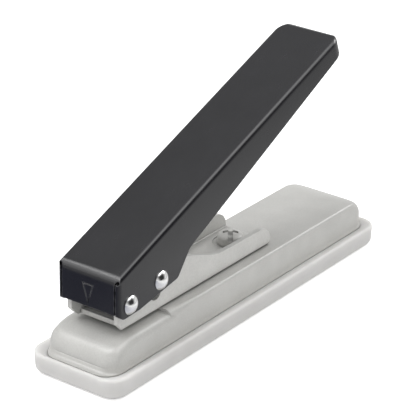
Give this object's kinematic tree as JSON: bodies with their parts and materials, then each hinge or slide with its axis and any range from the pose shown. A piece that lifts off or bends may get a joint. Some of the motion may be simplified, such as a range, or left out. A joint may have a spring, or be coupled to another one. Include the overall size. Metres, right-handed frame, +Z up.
{
  "type": "id card slot punch",
  "caption": "Hand lever punch that cuts a slot in a plastic card, with a painted base, a channel frame, a long sheet handle and a pull-off chip tray.",
  "frame": {"origin": "middle of the chip tray's underside", "axes": "+X along the machine to the handle's free end, +Z up, +Y to the right of a user who holds the handle and looks toward the punching end"},
  "size_m": [0.1842, 0.0448, 0.1014],
  "materials": {
    "tray_plastic": "translucent soft plastic, satin",
    "grey_paint": "light grey powder coat, fine texture",
    "black_paint": "black satin paint",
    "rivet_chrome": "bright plated",
    "tool_steel": "ground and hardened",
    "guide_steel": "milled, oiled",
    "zinc_steel": "zinc plated",
    "spring_steel": "drawn wire",
    "black_steel": "black oxide"
  },
  "bodies": {
    "tray": {"chip_tray": "tray_plastic"},
    "base": {"base_shell": "grey_paint", "die_block": "tool_steel", "die_screws": "black_steel", "frame_channel": "grey_paint", "frame_screw": "grey_paint", "frame_washer": "zinc_steel", "frame_nut": "zinc_steel", "guide_block": "guide_steel", "guide_screws": "black_steel", "guide_nuts": "zinc_steel", "guide_dowels": "tool_steel", "pivot_rivet": "rivet_chrome", "pivot_spacer": "zinc_steel", "pivot_washers": "zinc_steel", "spring_front": "spring_steel", "spring_rear": "spring_steel"},
    "handle": {"handle_shell": "black_paint", "drive_rivet": "rivet_chrome", "drive_washers": "zinc_steel"},
    "punch": {"punch_blade": "tool_steel", "spring_bar": "guide_steel", "bar_screw": "black_steel"}
  },
  "joints": [
    {"name": "base_lift", "type": "slide", "parent": "tray", "child": "base", "axis": [0, 0, 1], "range_m": [0, 0.03]},
    {"name": "handle_hinge", "type": "hinge", "parent": "base", "child": "handle", "pos_m": [-0.07383, 0, 0.0337], "axis": [0, 1, 0], "range_deg": [0, 20.7], "stiffness_Nm_per_rad": 0.85, "springref_deg": -22.92},
    {"name": "punch_slide", "type": "slide", "parent": "base", "child": "punch", "axis": [0, 0, -1], "range_m": [0, 0.007], "deforming": ["spring_front", "spring_rear"]}
  ],
  "couplings": [
    {"joint": "punch_slide", "follows": "handle_hinge", "m_per_rad": 0.019125}
  ]
}
